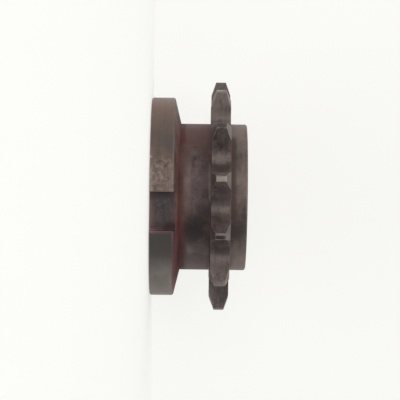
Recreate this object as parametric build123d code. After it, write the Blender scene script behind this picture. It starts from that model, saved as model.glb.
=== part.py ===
from build123d import *
from math import acos, atan2, cos, degrees, hypot, radians, sin, tan
import os

# Chain sprocket with a slotted drive flange, turned and cut from one piece of steel.
# Sizes are in millimetres and angles in degrees. The sprocket stands on the face of
# its flange: Z runs along the bore, up from that face, and the first slot faces -Y.

# ---- The chain that the teeth are cut for ----
chain_pitch = 15.875
roller_diameter = 10.16

# ---- Teeth ----
tooth_count = 13
tooth_width = 6.0  # thickness of the tooth ring
tip_ratio = 0.6  # how much of a pitch the tips add to the height of the pitch polygon
seat_ratio = 0.505  # seat radius over roller diameter
seat_angle = 131.0  # angle of the seat that the roller touches
flank_radius = 20.0  # convex flank from the seat to the tip
side_chamfer_depth = 1.45  # taken off each side of a tooth, along the axis
side_chamfer_height = 4.25  # how far down from the tip it starts
slot_to_tooth = 17.7  # angle from the first slot's middle round to a tooth's middle

# ---- Hub ----
hub_diameter = 47.0
bore_diameter = 30.0
bore_chamfer = 1.0
groove_width = 9.6  # bare hub between the flange and the teeth
hub_nose = 5.4  # bare hub beyond the teeth

# ---- Drive flange ----
flange_diameter = 63.6
rim_width = 7.4
back_rise = 2.0  # the conical back's rise along the axis, from the rim to the hub
slot_count = 2
slot_width = 12.7
slot_depth = 4.5  # from the rim to the flat floor, at the slot's middle

# ---- Edges and corners ----
edge_break = 0.4  # chamfer on the turned outer corners
nose_radius = 0.4  # left by the turning tool where the tooth ring meets the hub
slot_corner = 0.6  # where a slot's walls meet its floor
cutter_overrun = 2.0  # how far a cutter runs out past the metal

# ---- Worked out from the sizes above ----
half_tooth_pitch = 180 / tooth_count
pitch_radius = chain_pitch / 2 / sin(radians(half_tooth_pitch))
tip_radius = chain_pitch / 2 * (tip_ratio + 1 / tan(radians(half_tooth_pitch)))
seat_radius = seat_ratio * roller_diameter
bore_radius = bore_diameter / 2
hub_radius = hub_diameter / 2
flange_radius = flange_diameter / 2

groove_bottom = rim_width + back_rise
ring_bottom = groove_bottom + groove_width
ring_top = ring_bottom + tooth_width
hub_top = ring_top + hub_nose


def corners(section, *points):
    """The corners of a half-section at the given radii and heights."""
    return [section.vertices().sort_by_distance((radius, 0, height))[0] for radius, height in points]


def turned_blank():
    """The whole sprocket as it leaves the lathe, before the teeth and slots are cut."""
    outline = [
        (bore_radius, 0),
        (flange_radius, 0),
        (flange_radius, rim_width),
        (hub_radius, groove_bottom),
        (hub_radius, ring_bottom),
        (tip_radius - side_chamfer_height, ring_bottom),
        (tip_radius, ring_bottom + side_chamfer_depth),
        (tip_radius, ring_top - side_chamfer_depth),
        (tip_radius - side_chamfer_height, ring_top),
        (hub_radius, ring_top),
        (hub_radius, hub_top),
        (bore_radius, hub_top),
    ]
    section = make_face(Polyline(*[(radius, 0, height) for radius, height in outline], close=True))
    inner = corners(section, (hub_radius, ring_bottom), (hub_radius, ring_top))
    section = fillet(inner, nose_radius)
    outer = corners(section, (flange_radius, 0), (flange_radius, rim_width), (hub_radius, hub_top))
    section = chamfer(outer, edge_break)
    section = chamfer(corners(section, (bore_radius, 0), (bore_radius, hub_top)), bore_chamfer)
    return revolve(section, axis=Axis.Z)


def tooth_gap():
    """The metal cut from between two teeth, with the gap's middle along +X.

    A roller seat on the pitch circle runs into a convex flank on each side.
    """
    half_seat = seat_angle / 2
    reach = seat_radius + flank_radius
    flank_x = pitch_radius - reach * cos(radians(half_seat))
    flank_y = reach * sin(radians(half_seat))
    flank_distance = hypot(flank_x, flank_y)
    outside = tip_radius + cutter_overrun

    # The flank ends where its circle leaves the circle that the cutter runs out to.
    spread = acos((flank_distance**2 + outside**2 - flank_radius**2) / (2 * flank_distance * outside))
    end_angle = atan2(flank_y, flank_x) - spread
    end_x, end_y = outside * cos(end_angle), outside * sin(end_angle)
    sweep = degrees(atan2(end_y - flank_y, end_x - flank_x)) + half_seat

    seat = CenterArc((pitch_radius, 0), seat_radius, 180, -half_seat)
    flank = CenterArc((flank_x, flank_y), flank_radius, -half_seat, sweep)
    run_out = Line((end_x, end_y), (outside, 0))
    half = Curve() + [seat, flank, run_out]
    outline = make_face(half + mirror(half, about=Plane.XZ))
    return extrude(Pos(0, 0, ring_bottom) * outline, tooth_width)


def drive_slot():
    """The cutter for one flange slot: straight walls, a flat floor and round corners.

    It lies across +X, and runs through the flange from face to back.
    """
    floor = flange_radius - slot_depth
    height = groove_bottom + cutter_overrun
    cutter = Box(
        slot_depth + cutter_overrun,
        slot_width,
        height,
        align=(Align.MIN, Align.CENTER, Align.MAX),
    )
    cutter = fillet(cutter.edges().filter_by(Axis.Z).group_by(Axis.X)[0], slot_corner)
    return Pos(floor, 0, groove_bottom) * cutter


def chain_sprocket():
    """The finished sprocket."""
    first_slot = -90
    first_gap = first_slot - slot_to_tooth + half_tooth_pitch
    sprocket = turned_blank()
    sprocket -= [Rot(Z=first_gap + 2 * half_tooth_pitch * n) * tooth_gap() for n in range(tooth_count)]
    sprocket -= [Rot(Z=first_slot + 360 / slot_count * n) * drive_slot() for n in range(slot_count)]
    return sprocket


os.makedirs("parts", exist_ok=True)
export_step(chain_sprocket(), "parts/sprocket.step")
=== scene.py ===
from math import cos, radians, sin

import bpy
from mathutils import Matrix, Vector


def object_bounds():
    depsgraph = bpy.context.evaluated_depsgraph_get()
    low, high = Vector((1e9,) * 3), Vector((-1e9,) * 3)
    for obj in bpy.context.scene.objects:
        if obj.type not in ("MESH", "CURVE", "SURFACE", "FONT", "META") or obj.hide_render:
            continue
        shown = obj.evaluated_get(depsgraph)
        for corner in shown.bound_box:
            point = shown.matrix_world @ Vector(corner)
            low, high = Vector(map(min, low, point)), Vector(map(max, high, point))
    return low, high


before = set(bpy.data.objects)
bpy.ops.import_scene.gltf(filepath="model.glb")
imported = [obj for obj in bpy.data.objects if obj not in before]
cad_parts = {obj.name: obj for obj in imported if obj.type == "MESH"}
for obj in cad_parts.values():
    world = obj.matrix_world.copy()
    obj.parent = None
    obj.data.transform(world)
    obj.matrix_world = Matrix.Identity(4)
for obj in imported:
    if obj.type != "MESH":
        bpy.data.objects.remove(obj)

cad_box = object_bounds()

# ---- The sprocket ----
# One piece of steel, turned on a lathe and then cut with teeth and slots. Its skin is
# a dark brown oxide with the lathe's fine rings in it. Rust sits in the corners, and
# rubbing has worn the tooth tips and the edges bright.
flange_radius = 0.0318
hub_radius = 0.0235
slot_floor = 0.0273
slot_half_width = 0.00635
tip_radius = 0.03697
gap_bottom = 0.0280
rim_top = 0.0074
hub_foot = 0.0094
ring_bottom = 0.019
ring_top = 0.025

steel = bpy.data.materials.new("oxidised_steel")
steel.use_nodes = True
tree = steel.node_tree
surface = tree.nodes["Principled BSDF"]


def place(kind, inputs=None, **settings):
    """Puts a node in the steel's tree, and sets or links its inputs."""
    node = tree.nodes.new("ShaderNode" + kind)
    for name, value in settings.items():
        setattr(node, name, value)
    for key, value in (inputs or {}).items():
        if isinstance(value, bpy.types.NodeSocket):
            tree.links.new(value, node.inputs[key])
        else:
            node.inputs[key].default_value = value
    return node


def maths(operation, first, second=0.0):
    return place("Math", {0: first, 1: second}, operation=operation).outputs[0]


def added(*values):
    total = values[0]
    for value in values[1:]:
        total = maths("ADD", total, value)
    return total


def multiplied(*values):
    total = values[0]
    for value in values[1:]:
        total = maths("MULTIPLY", total, value)
    return total


def highest(*values):
    top = values[0]
    for value in values[1:]:
        top = maths("MAXIMUM", top, value)
    return top


def less(value):
    """What is left of 1."""
    return maths("SUBTRACT", 1.0, value)


def scaled(colour, shade):
    """The colour made lighter or darker by the shade."""
    return place("VectorMath", {0: colour, "Scale": shade}, operation="SCALE").outputs["Vector"]


def rise(value, low, high):
    """0 up to low, 1 from high, and smooth between them. It falls if high is the lower one.

    The smooth step stays between 0 and 1 by itself, so it needs no clamp after it.
    """
    inputs = {"Value": value, "From Min": low, "From Max": high}
    return place("MapRange", inputs, interpolation_type="SMOOTHSTEP", clamp=False).outputs["Result"]


def band(value, low, high, soft):
    """1 between low and high, fading to 0 over soft at each end."""
    return multiplied(rise(value, low - soft, low), rise(value, high + soft, high))


def noise(where, scale, detail=2.0, roughness=0.5):
    """Noise that averages a half, at scale waves to a metre."""
    inputs = {"Vector": where, "Scale": scale, "Detail": detail, "Roughness": roughness}
    return place("TexNoise", inputs).outputs["Fac"]


def coat(mask, under, over):
    """The colour over, laid on the colour under as far as the mask says."""
    mix = place("Mix", {"Factor": mask}, data_type="RGBA")
    for socket, colour in ((mix.inputs[6], under), (mix.inputs[7], over)):
        if isinstance(colour, bpy.types.NodeSocket):
            tree.links.new(colour, socket)
        else:
            socket.default_value = (*colour, 1)
    return mix.outputs[2]


def blended(mask, under, over):
    """The number over where the mask is 1, and the number under where it is 0."""
    return place("Mix", {"Factor": mask, 2: under, 3: over}, data_type="FLOAT").outputs[0]


# Where a point lies on the part: how far from the axis, how far up it, and which way round.
# The turn is in degrees from the middle of the front slot, and grows to the left as seen
# from outside with the axis upright.
position = place("TexCoord").outputs["Object"]
across, deep, height = place("SeparateXYZ", {0: position}).outputs
radius = maths("SQRT", added(maths("MULTIPLY", across, across), maths("MULTIPLY", deep, deep)))
round_x = maths("DIVIDE", across, radius)
round_y = maths("DIVIDE", deep, radius)
turn = maths("DEGREES", maths("ARCTAN2", maths("MULTIPLY", across, -1.0), maths("MULTIPLY", deep, -1.0)))


def stretched(along_axis, round_axis):
    """The place on the part, with its waves made finer along the axis or round it."""
    inputs = {
        "X": maths("MULTIPLY", across, round_axis),
        "Y": maths("MULTIPLY", deep, round_axis),
        "Z": maths("MULTIPLY", height, along_axis),
    }
    return place("CombineXYZ", inputs).outputs[0]


# Patches and blooms have ragged edges, which wander in and out by this noise.
wander = maths("SUBTRACT", noise(position, 420.0, detail=3.0), 0.5)


def patch(where, size, soft):
    """1 within size of a point on the part, fading to 0 over soft, with a ragged edge."""
    distance = place("VectorMath", {0: position, 1: where}, operation="DISTANCE").outputs["Value"]
    return rise(added(distance, multiplied(wander, soft)), size + soft, size)


def on_part(turned_by, along, out):
    """The point at a turn, height and radius."""
    return (-out * sin(radians(turned_by)), -out * cos(radians(turned_by)), along)


# Marks are merged one at a time, because Cycles draws a material black if it has to hold
# more than 255 values at once.
def patches(out, *spots):
    """Patches at one radius. Each is turned by, along, size, soft and strength."""
    strongest = 0.0
    for turned_by, along, size, soft, strength in spots:
        spot = multiplied(patch(on_part(turned_by, along, out), size, soft), strength)
        strongest = maths("MAXIMUM", strongest, spot)
    return strongest


def stripes(*marks):
    """Stripes along the axis. Each is from turn, to turn, soft and strength."""
    strongest = 0.0
    for start, end, soft, strength in marks:
        strongest = maths("MAXIMUM", strongest, multiplied(band(turn, start, end, soft), strength))
    return strongest


def fading_stripes(*marks):
    """Stripes that fade along the axis.

    Each is from turn, to turn, soft, the height where it has faded to nothing, the height
    where it is full, and strength.
    """
    strongest = 0.0
    for start, end, soft, faded_at, full_at, strength in marks:
        stripe = multiplied(band(turn, start, end, soft), rise(height, faded_at, full_at), strength)
        strongest = maths("MAXIMUM", strongest, stripe)
    return strongest


def near_ring(out, along, size, soft):
    """1 within size of the circle at a radius and height, fading to 0 over soft."""
    gap_out = maths("SUBTRACT", radius, out)
    gap_along = maths("SUBTRACT", height, along)
    gap = maths("SQRT", added(multiplied(gap_out, gap_out), multiplied(gap_along, gap_along)))
    return rise(gap, size + soft, size)


# The surfaces, told apart by where they lie. Each mask is 1 on its own surface, and fades
# to 0 within a millimetre of it.
hub_skin = rise(radius, hub_radius + 0.0012, hub_radius + 0.0004)
outside_bore = rise(radius, hub_radius - 0.0013, hub_radius - 0.0005)
on_hub = multiplied(band(height, hub_foot - 0.0002, ring_bottom, 0.0003), hub_skin)
on_nose = multiplied(rise(height, ring_top - 0.0002, ring_top + 0.0001), hub_skin)
on_ring = multiplied(
    band(height, ring_bottom, ring_top, 0.0002),
    rise(radius, gap_bottom - 0.0012, gap_bottom - 0.0004),
)
on_flange = rise(height, rim_top + 0.0004, rim_top - 0.0001)
on_rim = multiplied(on_flange, rise(radius, flange_radius - 0.0005, flange_radius - 0.0002))
cone_slope = (hub_foot - rim_top) / (flange_radius - hub_radius)
below_foot = maths("SUBTRACT", hub_foot - 0.0002, height)
cone_fall = maths("MULTIPLY", maths("SUBTRACT", radius, hub_radius), cone_slope)
below_cone = maths("SUBTRACT", below_foot, cone_fall)
on_cone = multiplied(
    rise(below_cone, 0.0001, -0.0001),
    rise(height, hub_foot + 0.0003, hub_foot),
    rise(radius, hub_radius - 0.0007, hub_radius - 0.0001),
)
from_slot_floor = maths("ABSOLUTE", maths("SUBTRACT", maths("ABSOLUTE", deep), slot_floor))
in_slot = multiplied(
    rise(below_cone, -0.0001, 0.0001),
    rise(from_slot_floor, 0.0006, 0.0003),
    rise(maths("ABSOLUTE", across), slot_half_width + 0.00025, slot_half_width + 0.00005),
)

# The lathe's rings run round the axis, so they change fast along it and slowly round it.
# The tooth ring has none, because cutters finished it.
ring_fineness = 900.0
ring_run = 1.6
lathe_point = place("CombineXYZ", {
    "X": maths("MULTIPLY", round_x, ring_run),
    "Y": maths("MULTIPLY", round_y, ring_run),
    "Z": maths("MULTIPLY", added(radius, height), ring_fineness),
}).outputs[0]
rings = noise(lathe_point, 1.0, detail=4.0, roughness=0.65)
tooth_ring = multiplied(
    band(height, ring_bottom, ring_top, 0.0001),
    rise(radius, hub_radius + 0.0005, hub_radius + 0.0011),
)
turned = less(tooth_ring)

# The oxide: a brown that differs from surface to surface, mottled by soft clouds, by
# streaks that follow the turning, and by a fine speckle. The rim is the evenest.
tooth_brown = (0.118, 0.090, 0.082)
hub_brown = (0.132, 0.091, 0.086)
nose_brown = (0.153, 0.112, 0.096)
rim_brown = (0.139, 0.099, 0.081)
warm_brown = (0.152, 0.098, 0.078)
slot_brown = (0.080, 0.066, 0.065)
brown = coat(on_hub, tooth_brown, hub_brown)
brown = coat(on_nose, brown, nose_brown)
brown = coat(on_flange, brown, rim_brown)
brown = coat(multiplied(on_rim, band(turn, 56.0, 110.0, 20.0)), brown, warm_brown)
brown = coat(in_slot, brown, slot_brown)

clouds = noise(position, 150.0, detail=3.0)
streaks = noise(stretched(3.2, 1.0), 190.0, detail=3.0, roughness=0.6)
speckle = noise(position, 1300.0, detail=3.0, roughness=0.6)
mottle = added(multiplied(clouds, 0.38), multiplied(streaks, 0.32), multiplied(speckle, 0.3))
mottled = rise(mottle, 0.36, 0.64)
evenness = highest(on_rim, multiplied(on_nose, 0.5))
darkest = blended(evenness, 0.52, 0.84)
spread = blended(evenness, 0.92, 0.30)
ring_shade = multiplied(turned, maths("SUBTRACT", rings, 0.5), 0.55)
colour = scaled(brown, added(darkest, multiplied(mottled, spread), ring_shade))

# Darker patches and lighter rubs lie on the oxide. Hub, nose and teeth each have their own. The dark grey
# also paints shade in the tooth gaps and slots, and the lighter colour also paints highlights and sheen on
# the hub and rim.
grime_and_shade = (0.043, 0.039, 0.040)
rubbed_and_sheen = (0.215, 0.172, 0.154)
# Darker patches on the hub, heaviest at negative turns.
hub_dark_patches = patches(
    hub_radius,
    (-64, 0.0136, 0.0030, 0.0040, 0.50),
    (-48, 0.0142, 0.0028, 0.0034, 0.85),
    (-44, 0.0106, 0.0012, 0.0030, 0.45),
    (-38, 0.0150, 0.0018, 0.0030, 0.60),
    (-30, 0.0170, 0.0010, 0.0026, 0.50),
    (-20, 0.0134, 0.0022, 0.0030, 0.85),
    (-12, 0.0152, 0.0018, 0.0030, 0.70),
    (-2, 0.0168, 0.0014, 0.0028, 0.60),
    (12, 0.0176, 0.0008, 0.0024, 0.60),
    (14, 0.0158, 0.0004, 0.0022, 0.35),
    (15, 0.0150, 0.0012, 0.0030, 0.30),
    (22, 0.0168, 0.0008, 0.0024, 0.30),
    (30, 0.0176, 0.0004, 0.0024, 0.30),
    (42, 0.0173, 0.0004, 0.0024, 0.35),
)
# Lighter rubs on the hub. The strongest spot, at turn 21.5, is partly wear and partly a painted glint.
hub_rubs_and_glint = patches(
    hub_radius,
    (-36, 0.0124, 0.0004, 0.0020, 0.30),
    (-15, 0.0178, 0.0004, 0.0014, 0.25),
    (21.5, 0.0115, 0.0001, 0.0013, 0.90),
    (23, 0.0154, 0.0001, 0.0010, 0.30),
    (24.5, 0.0134, 0.0001, 0.0012, 0.35),
    (40, 0.0118, 0.0004, 0.0020, 0.30),
    (45, 0.0135, 0.0006, 0.0018, 0.45),
)
# A painted highlight: a lighter band round the hub, 11.3 to 12.1 mm up, strongest near the front.
hub_highlight_band = multiplied(band(turn, 2.0, 30.0, 14.0), band(height, 0.0113, 0.0121, 0.0011), 0.55)
hub_end_rub = fading_stripes((9.0, 32.0, 5.0, 0.0179, 0.0185, 0.70))
# Darker patches on the nose.
nose_dark_patches = highest(
    patches(
        hub_radius,
        (-44, 0.0258, 0.0008, 0.0020, 0.45),
        (-38, 0.0276, 0.0014, 0.0030, 0.30),
        (-20, 0.0300, 0.0002, 0.0016, 0.30),
        (-18, 0.0266, 0.0014, 0.0030, 0.70),
        (-11, 0.0272, 0.0008, 0.0022, 0.50),
        (-10, 0.0292, 0.0008, 0.0028, 0.35),
        (3, 0.0296, 0.0006, 0.0026, 0.35),
        (14, 0.0262, 0.0004, 0.0022, 0.40),
        (40, 0.0262, 0.0006, 0.0026, 0.40),
        (52, 0.0264, 0.0004, 0.0022, 0.30),
    ),
    fading_stripes((-56.0, -26.0, 6.0, 0.0270, 0.0254, 0.40)),
)
nose_rub = patches(
    hub_radius,
    (22, 0.0268, 0.0003, 0.0018, 0.60),
    (26, 0.0292, 0.0006, 0.0024, 0.25),
    (38, 0.0294, 0.0006, 0.0030, 0.30),
    (50, 0.0292, 0.0008, 0.0030, 0.30),
    (70, 0.0268, 0.0008, 0.0036, 0.25),
)
# Painted shade: the flanks in the tooth gaps are darkened.
flank_shade = highest(
    stripes(
        (-60.0, -50.0, 3.0, 0.30),
        (4.5, 7.5, 2.5, 0.45),
    ),
    fading_stripes(
        (-62.0, -58.0, 1.5, 0.0222, 0.0236, 0.50),
        (-28.0, -26.0, 3.0, 0.0175, 0.0225, 0.65),
        (5.0, 15.8, 1.5, 0.0236, 0.0246, 0.40),
        (27.0, 29.2, 2.0, 0.0250, 0.0225, 0.55),
    ),
)
flank_rub = highest(
    stripes(
        (-34.0, -32.5, 2.0, 0.15),
        (20.5, 22.5, 1.5, 0.40),
        (42.0, 50.0, 3.0, 0.18),
        (56.0, 61.0, 4.0, 0.60),
        (65.8, 68.4, 1.5, 0.22),
        (67.2, 67.8, 0.4, 0.34),
        (73.0, 110.0, 3.0, 0.22),
    ),
    fading_stripes(
        (-62.5, -59.0, 1.0, 0.0212, 0.0196, 0.30),
        (-25.0, -19.0, 1.5, 0.0206, 0.0192, 0.18),
        (-6.8, -5.8, 0.8, 0.0206, 0.0192, 0.20),
        (-2.0, 3.0, 2.0, 0.0216, 0.0200, 0.12),
        (23.4, 25.4, 1.0, 0.0214, 0.0236, 0.28),
    ),
    patches(0.0345, (69.5, 0.0242, 0.0010, 0.0016, 0.35)),
    patches(0.0352, (-10.8, 0.0243, 0.0008, 0.0010, 0.20)),
)
dark_patches_and_shade = highest(
    multiplied(on_hub, hub_dark_patches),
    multiplied(on_nose, nose_dark_patches),
    multiplied(on_ring, flank_shade),
)
# Lighter rubs, together with the painted highlight band and glint on the hub.
rubs_and_highlights = added(
    multiplied(on_hub, added(hub_rubs_and_glint, hub_highlight_band, hub_end_rub)),
    multiplied(on_nose, nose_rub),
    multiplied(on_ring, flank_rub),
)
colour = coat(multiplied(dark_patches_and_shade, added(0.75, multiplied(mottled, 0.35))), colour, grime_and_shade)
colour = coat(rubs_and_highlights, colour, rubbed_and_sheen)

# The rim has darker grey patches of painted shade, lighter patches of painted sheen low down and on its
# upper edge, rubbed edges partly lightened with painted highlight, and a speckled patch left of the slot.
rim_shade_grey = (0.078, 0.072, 0.068)
rim_sheen_grey = (0.138, 0.124, 0.107)
tan = (0.210, 0.172, 0.142)
# Painted shade: darker grey patches on the rim.
rim_shade = patches(
    flange_radius,
    (-40, 0.0034, 0.0046, 0.0060, 0.70),
    (-16, 0.0037, 0.0050, 0.0070, 0.90),
    (42, 0.0055, 0.0010, 0.0050, 0.50),
    (54, 0.0045, 0.0030, 0.0060, 0.30),
)
# Painted sheen: lighter patches on the lower rim and on its upper edge.
rim_sheen = patches(
    flange_radius,
    (-54, 0.0037, 0.0105, 0.0055, 0.55),
    (74, 0.0074, 0.0002, 0.0030, 0.40),
)
# Rubbed rim, partly painted highlight: lighter near turns of ±90 degrees and along its upper edge.
rim_rub_and_sheen = multiplied(on_rim, highest(
    stripes(
        (-90.0, -72.0, 12.0, 0.90),
        (84.0, 96.0, 18.0, 0.90),
    ),
    fading_stripes(
        (-90.0, -64.0, 8.0, 0.0028, 0.0008, 0.60),
        (-90.0, -48.0, 12.0, 0.0056, 0.0074, 0.90),
        (10.0, 24.0, 6.0, 0.0056, 0.0070, 0.80),
    ),
    multiplied(rise(height, 0.0069, 0.0073), less(band(turn, -50.0, -20.0, 6.0)), 0.50),
))
rim_foot_rub = multiplied(
    on_flange,
    fading_stripes((-8.0, 34.0, 6.0, 0.0012, 0.0004, 1.0)),
    rise(radius, slot_floor - 0.0005, slot_floor - 0.0001),
)
speckled = multiplied(on_rim, patch(on_part(21, 0.0037, flange_radius), 0.0040, 0.0040))
specks = noise(position, 820.0, detail=3.0, roughness=0.65)
light_specks = rise(specks, 0.53, 0.65)
dark_specks = rise(specks, 0.46, 0.34)
colour = coat(multiplied(on_rim, rim_shade), colour, rim_shade_grey)
colour = coat(multiplied(on_rim, rim_sheen), colour, rim_sheen_grey)
colour = coat(multiplied(speckled, light_specks, 0.85), colour, tan)
colour = coat(multiplied(highest(rim_rub_and_sheen, rim_foot_rub), 0.45), colour, rubbed_and_sheen)
colour = coat(multiplied(speckled, dark_specks, 0.60), colour, grime_and_shade)

# Rust: dark red on the cone and in the corner between it and the hub. Its red differs a
# little round the part, and its edge is ragged.
front_rust = (0.127, 0.054, 0.045)
right_rust = (0.132, 0.042, 0.043)
bright_rust = (0.175, 0.052, 0.048)
deep_rust = (0.092, 0.026, 0.019)
away_from_front = less(band(turn, -18.0, 42.0, 18.0))
deep_corner = multiplied(near_ring(hub_radius, hub_foot, 0.0009, 0.0014), away_from_front)
rust = coat(band(turn, -120.0, -15.0, 20.0), front_rust, right_rust)
rust = coat(multiplied(on_cone, band(turn, -110.0, -62.0, 16.0)), rust, bright_rust)
rust = coat(deep_corner, rust, deep_rust)
rust = scaled(rust, added(0.80, multiplied(mottled, 0.40)))
rust_edge = multiplied(maths("SUBTRACT", noise(position, 420.0, detail=4.0, roughness=0.6), 0.5), 0.9)


def ragged(mask):
    """The mask with a rusty edge: broken up where it fades, and still 0 where it was."""
    return multiplied(rise(added(mask, rust_edge), 0.25, 0.75), rise(mask, 0.0, 0.2))


outer_cone = rise(added(radius, multiplied(rust_edge, 0.002)), 0.0278, 0.0300)
bare_share = added(0.35, multiplied(band(turn, -8.0, 150.0, 10.0), 0.4))
cone_rust = multiplied(on_cone, less(multiplied(outer_cone, bare_share)))
corner_rust = highest(
    ragged(near_ring(hub_radius, hub_foot, 0.0001, 0.0013)),
    multiplied(deep_corner, 0.9),
)

# A red bloom spreads from the rust onto the hub. The hub's corners by the ring and the cone are darkened
# brown, partly stain and partly painted corner shade. The left side of the hub and the nose is lightened
# with a painted sheen.
bloom = (0.124, 0.056, 0.051)
stain_and_shade_brown = (0.074, 0.042, 0.037)
ragged_height = added(height, multiplied(wander, 0.004))
ragged_turn = added(turn, multiplied(wander, 20.0))
hub_bloom = multiplied(on_hub, outside_bore, highest(
    multiplied(rise(ragged_height, 0.0140, 0.0098), less(band(turn, -120.0, -40.0, 20.0)), 0.5),
    multiplied(band(ragged_turn, 62.0, 110.0, 22.0), 0.9),
    patches(hub_radius, (40, 0.0182, 0.0008, 0.0030, 0.4)),
    stripes((-90.0, -52.0, 12.0, 0.35)),
))
under_ring = multiplied(
    near_ring(hub_radius, ring_bottom, 0.0002, 0.0014),
    less(band(turn, 12.0, 150.0, 12.0)),
    0.50,
)
over_ring = multiplied(
    near_ring(hub_radius, ring_top, 0.0007, 0.0024),
    less(band(turn, -110.0, -14.0, 10.0)),
    less(band(turn, 68.0, 110.0, 12.0)),
    0.95,
)
at_foot = multiplied(near_ring(hub_radius, hub_foot, 0.0012, 0.0022), stripes((-90.0, -36.0, 8.0, 0.90)))
# Stain and painted corner shade in the hub's corners.
stain_and_corner_shade = highest(under_ring, over_ring, at_foot)
# Painted sheen along the left side of the hub and the nose.
side_sheen = multiplied(outside_bore, band(turn, 80.0, 110.0, 6.0), highest(
    multiplied(on_hub, blended(rise(height, 0.0160, 0.0180), 0.12, 0.26)),
    multiplied(on_nose, 0.22),
))
colour = coat(hub_bloom, colour, bloom)
colour = coat(multiplied(blended(0.5, stain_and_corner_shade, ragged(stain_and_corner_shade)), 0.9), colour, stain_and_shade_brown)
colour = coat(side_sheen, colour, rubbed_and_sheen)

# The slots' floors carry painted shade: a painted shadow along one wall, darkening towards the other, and
# a black painted shade in one corner. Rust lies at their ends. The right wall of the front slot is rusty,
# and pink dust lies along its lip.
corner_shade_black = (0.042, 0.022, 0.020)
pink_dust = (0.270, 0.170, 0.165)
ragged_across = added(across, multiplied(wander, 0.002))
# Painted shade in the slots: a shadow along one wall and darkening towards the other.
slot_shade = multiplied(in_slot, highest(
    multiplied(rise(ragged_across, 0.0028, 0.0050), rise(height, 0.0006, 0.0022), 0.90),
    multiplied(rise(across, -0.0025, -0.0043), 0.65),
    multiplied(patch((0.0025, -slot_floor, 0.0060), 0.0010, 0.0030), 0.50),
))
# Painted shade: a black corner of the slot floor.
slot_corner_shade = multiplied(in_slot, patch((0.0058, -slot_floor, 0.0066), 0.0010, 0.0022), 0.90)
rust_free = less(patch((0.0054, -slot_floor, 0.0062), 0.0008, 0.0022))
slot_rust = multiplied(in_slot, rust_free, highest(
    multiplied(rise(height, 0.0062, 0.0078), 0.40),
    multiplied(rise(across, 0.0040, 0.0056), 0.30),
    multiplied(rise(across, 0.0020, 0.0050), rise(height, 0.0026, 0.0006), 0.60),
    multiplied(rise(across, 0.0010, -0.0020), rise(height, 0.0026, 0.0008), 0.35),
    patches(slot_floor, (-2, 0.0008, 0.0006, 0.0034, 0.35)),
))
past_wall = maths("SUBTRACT", maths("ABSOLUTE", across), slot_half_width)
right_wall = multiplied(
    on_flange,
    rise(maths("ABSOLUTE", past_wall), 0.0006, 0.0003),
    rise(across, -0.001, 0.001),
    rise(deep, -0.0255, -0.0265),
)
right_lip = multiplied(right_wall, rise(past_wall, 0.0003, 0.0001), highest(
    band(radius, 0.0295, 0.0308, 0.0006),
    multiplied(rise(radius, 0.0274, 0.0282), rise(height, 0.0030, 0.0012), 0.40),
))
colour = coat(slot_shade, colour, grime_and_shade)

# The chamfers of the nearest teeth are darkened on their side towards the flange, partly dirt and partly
# painted shade, and the flanks beside the front gaps are tinted darker with painted shade.
chamfer_dirt_and_shade = (0.060, 0.038, 0.034)
# Darker flange-side chamfers: dirt and painted shade.
chamfer_darkening = multiplied(
    band(height, ring_bottom - 0.0005, ring_bottom + 0.0013, 0.0004),
    rise(radius, 0.0325, 0.0335),
    stripes((-16.0, 43.0, 8.0, 0.85)),
)
# Painted shade: the flanks beside the front gaps are tinted darker.
flank_shade_tint = multiplied(on_ring, stripes((-9.0, -2.0, 2.0, 0.35), (20.5, 28.0, 2.0, 0.35)))
colour = coat(chamfer_darkening, colour, chamfer_dirt_and_shade)
colour = coat(flank_shade_tint, colour, stain_and_shade_brown)

red = highest(cone_rust, corner_rust, slot_rust, multiplied(right_wall, 0.5))
rusty = highest(multiplied(hub_bloom, 0.4), multiplied(stain_and_corner_shade, 0.5), red, right_lip)
colour = coat(red, colour, rust)
colour = coat(slot_corner_shade, colour, corner_shade_black)
colour = coat(multiplied(right_lip, 0.9), colour, pink_dust)

# Edges and tooth tips are rubbed down to brighter steel. A point is on an edge where the surface turns
# within a short distance. The tips are darkened in their middles: black dirt, and on the tooth at turn −10
# painted shade.
bare_steel = (0.380, 0.335, 0.308)
black_dirt_and_shade = (0.044, 0.037, 0.035)
edge_reach = 0.00022
soft_normal = place("Bevel", {"Radius": edge_reach}, samples=8).outputs["Normal"]
sharp_normal = place("NewGeometry").outputs["Normal"]
likeness = place("VectorMath", {0: soft_normal, 1: sharp_normal}, operation="DOT_PRODUCT").outputs["Value"]
on_edge = rise(less(likeness), 0.02, 0.16)
on_tooth = multiplied(on_ring, rise(radius, 0.0325, 0.0340))
in_gap = multiplied(on_ring, less(on_tooth))
rub = rise(noise(position, 500.0, detail=3.0), 0.36, 0.60)
rubbing = added(0.15, multiplied(rub, 0.45), multiplied(on_tooth, 0.4))
rubbing = multiplied(rubbing, less(multiplied(in_gap, 0.85)))
edge = multiplied(on_edge, less(multiplied(rusty, 0.8)), less(right_wall), rubbing)
slot_lip = multiplied(on_rim, fading_stripes((12.0, 23.0, 4.0, 0.0016, 0.0006, 0.22)))
nick = highest(
    patches(flange_radius, (31.5, 0.0001, 0.0002, 0.0005, 1.0)),
    patches(0.0354, (-39.6, 0.0241, 0.0003, 0.0007, 0.5)),
)

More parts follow.
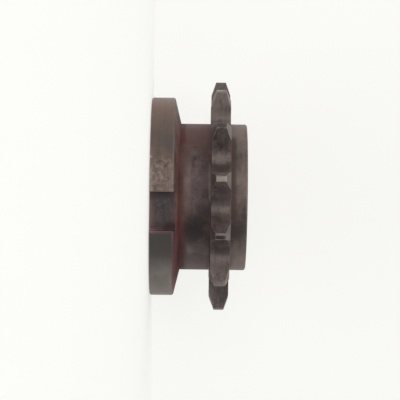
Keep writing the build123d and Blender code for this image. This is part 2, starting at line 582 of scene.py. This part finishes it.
on_tip = multiplied(rise(radius, tip_radius - 0.0004, tip_radius - 0.0001), on_ring)
tip_middle = band(height, 0.0206, 0.0232, 0.0002)
bright_tip = patches(
    tip_radius,
    (17.7, 0.0229, 0.0003, 0.0030, 0.28),
    (43.4, 0.0229, 0.0001, 0.0005, 0.60),
    (43.6, 0.0208, 0.0001, 0.0006, 0.80),
    (75.5, 0.0214, 0.0012, 0.0014, 0.50),
)
bright_line = highest(
    stripes((-9.3, -8.0, 0.3, 0.38)),
    multiplied(stripes((15.6, 18.8, 0.3, 0.45)), band(height, 0.0232, 0.0235, 0.0002)),
    multiplied(stripes((16.6, 18.6, 0.3, 0.45)), band(height, 0.0200, 0.0207, 0.0002)),
)
# Darker tip middles: dirt, and painted shade on the tooth at turn −10.
darkened_tip_middle = multiplied(on_tip, highest(
    multiplied(stripes((-10.9, -9.8, 0.3, 1.0)), band(height, 0.0206, 0.0228, 0.0003)),
    multiplied(stripes((15.0, 16.2, 0.3, 0.60), (19.0, 20.0, 0.3, 0.60)), tip_middle),
    patches(
        tip_radius,
        (17.0, 0.0225, 0.0001, 0.0007, 0.30),
        (45.6, 0.0214, 0.0012, 0.0012, 0.70),
    ),
))
tip_shine = added(0.08, multiplied(rise(clouds, 0.42, 0.62), 0.15), bright_tip)
tip_wear = multiplied(on_tip, highest(multiplied(tip_shine, less(darkened_tip_middle)), bright_line))
worn = highest(edge, tip_wear, nick, slot_lip)
colour = coat(darkened_tip_middle, colour, black_dirt_and_shade)
colour = coat(worn, colour, bare_steel)

# The finish: the oxide is half matt, rust is dull, and bare steel shines a little.
roughness = added(0.50, multiplied(mottled, 0.12), multiplied(in_slot, 0.05))
roughness = blended(rusty, roughness, 0.80)
roughness = blended(worn, roughness, 0.42)
metallic = blended(rusty, 0.60, 0.15)
metallic = blended(worn, metallic, 0.65)

# The skin: fine turned rings, and a grain that is coarser round the cone, where it rusts.
skin_depth = 0.00006
grain = noise(position, 3200.0, detail=3.0, roughness=0.6)
round_cone = band(height, rim_top, hub_foot + 0.0010, 0.0008)
skin = added(multiplied(turned, rings, 0.5), multiplied(grain, added(0.35, multiplied(round_cone, 0.45))))
bump = place("Bump", {"Height": skin, "Strength": 0.35, "Distance": skin_depth, "Normal": soft_normal})

tree.links.new(colour, surface.inputs["Base Color"])
tree.links.new(roughness, surface.inputs["Roughness"])
tree.links.new(metallic, surface.inputs["Metallic"])
tree.links.new(bump.outputs["Normal"], surface.inputs["Normal"])
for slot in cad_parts["sprocket"].material_slots:
    slot.material = steel

# ---- The white sheet and the floor ----
# A white paper sheet hangs close behind the sprocket, and pale floor paper lies under it.
# Neither is part of it. Both take the light of the lamps and show the sprocket's shadow,
# but throw none themselves.


def paper(name, colour, glow):
    """Matt paper, kept white by a glow that lights nothing, and seen through from behind."""
    material = bpy.data.materials.new(name)
    material.use_nodes = True
    nodes, links = material.node_tree.nodes, material.node_tree.links
    matt = nodes["Principled BSDF"]
    matt.inputs["Base Color"].default_value = (*colour, 1)
    matt.inputs["Roughness"].default_value = 1.0
    matt.inputs["Specular IOR Level"].default_value = 0.0
    white = nodes.new("ShaderNodeEmission")
    white.inputs["Color"].default_value = (*colour, 1)
    ray = nodes.new("ShaderNodeLightPath").outputs
    seen = nodes.new("ShaderNodeMath")
    seen.operation = "MAXIMUM"
    links.new(ray["Is Camera Ray"], seen.inputs[0])
    links.new(ray["Is Glossy Ray"], seen.inputs[1])
    share = nodes.new("ShaderNodeMath")
    share.operation = "MULTIPLY"
    share.inputs[1].default_value = glow
    links.new(seen.outputs[0], share.inputs[0])
    whitened = nodes.new("ShaderNodeMixShader")
    links.new(share.outputs[0], whitened.inputs["Fac"])
    links.new(matt.outputs["BSDF"], whitened.inputs[1])
    links.new(white.outputs["Emission"], whitened.inputs[2])
    clear = nodes.new("ShaderNodeBsdfTransparent")
    behind = nodes.new("ShaderNodeMath")
    behind.operation = "MULTIPLY"
    links.new(nodes.new("ShaderNodeNewGeometry").outputs["Backfacing"], behind.inputs[0])
    links.new(ray["Is Camera Ray"], behind.inputs[1])
    one_sided = nodes.new("ShaderNodeMixShader")
    links.new(behind.outputs[0], one_sided.inputs["Fac"])
    links.new(whitened.outputs["Shader"], one_sided.inputs[1])
    links.new(clear.outputs["BSDF"], one_sided.inputs[2])
    links.new(one_sided.outputs["Shader"], nodes["Material Output"].inputs["Surface"])
    return material


def plane(name, corners, material):
    """A flat rectangle of the stage, facing the side from which its corners run anticlockwise."""
    mesh = bpy.data.meshes.new(name)
    mesh.from_pydata(corners, [], [(0, 1, 2, 3)])
    mesh.materials.append(material)
    made = bpy.data.objects.new(name, mesh)
    made.visible_shadow = False
    bpy.context.scene.collection.objects.link(made)
    return made


gap = 0.0002
reach = 3.0
sheet_y = cad_box[1].y + gap
sheet_corners = [
    (-reach, sheet_y, -reach),
    (reach, sheet_y, -reach),
    (reach, sheet_y, reach),
    (-reach, sheet_y, reach),
]
plane("sheet", sheet_corners, paper("white_paper", (0.965, 0.962, 0.935), 0.78))
floor_corners = [
    (-reach, -reach, -gap),
    (reach, -reach, -gap),
    (reach, reach, -gap),
    (-reach, reach, -gap),
]
floor = plane("floor", floor_corners, paper("floor_paper", (0.88, 0.88, 0.855), 0.66))
floor.visible_diffuse = False
floor.visible_glossy = False

# ---- The camera ----
# It looks square at the axis from the side of the front slot, with the axis lying level in
# its picture and the nose to the right. The lens is in pixels of the picture's width.
look_up = radians(9.15)
look_along = 0.0058
roll = 0.01414
distance = 0.5647
picture_width = 400
lens_in_pixels = 1749
sensor_width = 36
axis_height = 0.01572
axis_above_middle = 0.001043

level = Vector((-sin(look_up), -cos(look_up), 0))
upward = Vector((-cos(look_up), sin(look_up), 0))
along_axis = Vector((0, 0, 1))
back = level * cos(look_along) - along_axis * sin(look_along)
level_right = along_axis * cos(look_along) + level * sin(look_along)
right = level_right * cos(roll) + upward * sin(roll)
up = upward * cos(roll) - level_right * sin(roll)
camera_data = bpy.data.cameras.new("camera")
camera_data.sensor_width = sensor_width
camera_data.lens = sensor_width * lens_in_pixels / picture_width
camera = bpy.data.objects.new("camera", camera_data)
stand = Matrix((right, up, back)).transposed().to_4x4()
stand.translation = along_axis * axis_height + back * distance - up * axis_above_middle
camera.matrix_world = stand
bpy.context.scene.collection.objects.link(camera)
bpy.context.scene.camera = camera

# ---- The light ----
# Soft studio light: two lamps near the camera, a wide one off each end of the axis, weak
# ones above and below the picture, one for the far side, and an even white room.
lamp_distance = 0.9


def aimed(raised, turned_by):
    """The direction raised above the camera's, and turned to the picture's right, in degrees."""
    tilted = level * cos(radians(raised)) + upward * sin(radians(raised))
    return tilted * cos(radians(turned_by)) + along_axis * sin(radians(turned_by))


def lamp(name, toward, size, power):
    """A square lamp, set off in the direction toward and facing the sprocket."""
    data = bpy.data.lights.new(name, "AREA")
    data.size = size
    data.energy = power
    made = bpy.data.objects.new(name, data)
    made.location = Vector((0, 0, axis_height)) + toward.normalized() * lamp_distance
    made.rotation_mode = "QUATERNION"
    made.rotation_quaternion = toward.to_track_quat("Z", "Y")
    made.visible_camera = False
    bpy.context.scene.collection.objects.link(made)


lamp("key", aimed(21, 0), 0.35, 1.8)
lamp("second", aimed(4, 18), 0.2, 0.8)
lamp("right", aimed(10, 60), 0.9, 6.0)
lamp("left", aimed(0, -68), 0.8, 4.4)
lamp("top", aimed(98, 0), 0.3, 0.8)
lamp("low", aimed(-100, 0), 0.3, 1.4)
lamp("far", aimed(150, 10), 0.5, 3.0)

room = bpy.data.worlds.new("room")
room.use_nodes = True
room_nodes, room_links = room.node_tree.nodes, room.node_tree.links
walls = room_nodes["Background"]
walls.inputs["Color"].default_value = (1, 1, 1, 1)
walls.inputs["Strength"].default_value = 0.25
backdrop = room_nodes.new("ShaderNodeBackground")
backdrop.inputs["Color"].default_value = (0.92, 0.92, 0.90, 1)
camera_ray = room_nodes.new("ShaderNodeLightPath").outputs["Is Camera Ray"]
shown_room = room_nodes.new("ShaderNodeMixShader")
room_links.new(camera_ray, shown_room.inputs["Fac"])
room_links.new(walls.outputs["Background"], shown_room.inputs[1])
room_links.new(backdrop.outputs["Background"], shown_room.inputs[2])
room_links.new(shown_room.outputs["Shader"], room_nodes["World Output"].inputs["Surface"])
bpy.context.scene.world = room

bpy.context.scene.view_settings.view_transform = "Standard"
